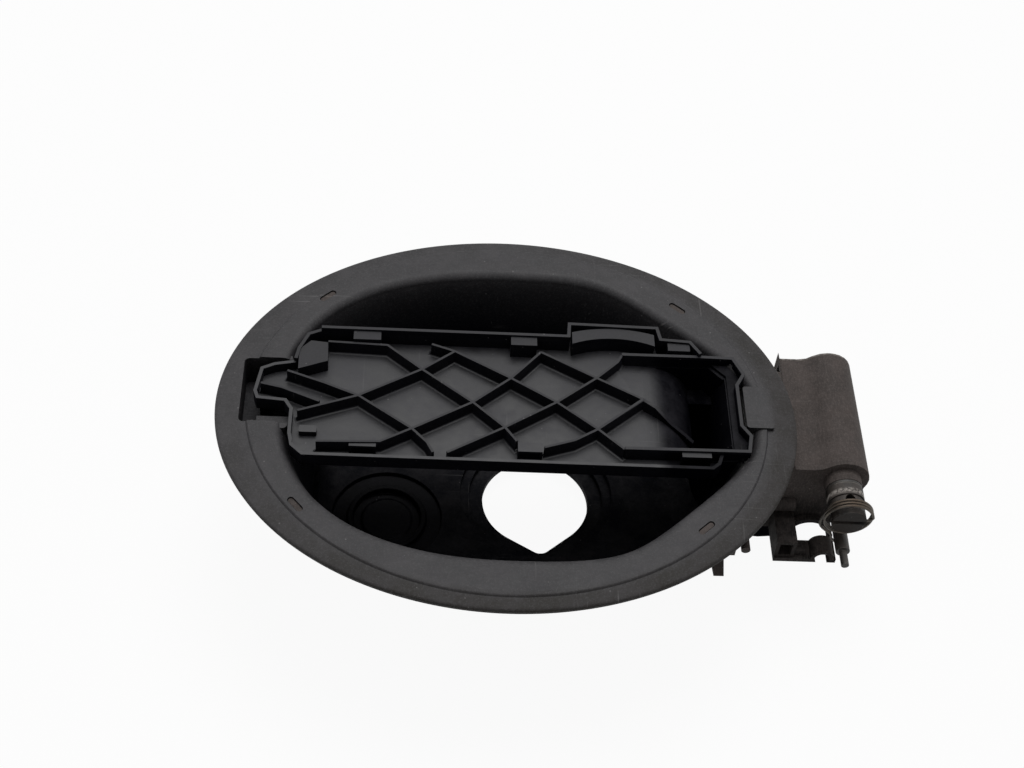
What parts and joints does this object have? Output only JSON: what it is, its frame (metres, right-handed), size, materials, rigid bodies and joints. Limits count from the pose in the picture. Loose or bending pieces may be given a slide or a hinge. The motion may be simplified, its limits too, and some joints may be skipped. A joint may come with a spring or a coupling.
{
  "type": "fuel filler flap housing",
  "caption": "Oval fuel filler flap housing: a soft pocket with a filler opening and a blanked second one, a side hinge box, and a ribbed flap carrier on a swan neck.",
  "frame": {"origin": "middle of the oval opening in the car's side panel that the flange fills, at the height of the flange's face", "axes": "+X towards the hinge, +Y across the opening, +Z out of the car through the opening"},
  "size_m": [0.2734, 0.1934, 0.089],
  "materials": {
    "soft_black": "matt, dusty",
    "hard_black": "fine grained",
    "dusty_plastic": "matt, brown dust",
    "steel": "dull spring steel"
  },
  "bodies": {
    "housing": {"soft_pocket": "soft_black", "carrier_frame": "dusty_plastic", "blanking_plug": "hard_black", "near_bush": "hard_black", "far_bush": "hard_black", "spring_peg": "steel", "line_bracket": "dusty_plastic", "torsion_spring": "steel"},
    "flap": {"flap_carrier": "hard_black", "hinge_axle": "hard_black", "axle_clip": "steel"}
  },
  "joints": [
    {"name": "flap_hinge", "type": "hinge", "parent": "housing", "child": "flap", "pos_m": [0.142, 0, -0.022], "axis": [0, 1, 0], "range_deg": [0, 75], "deforming": ["torsion_spring"]}
  ]
}
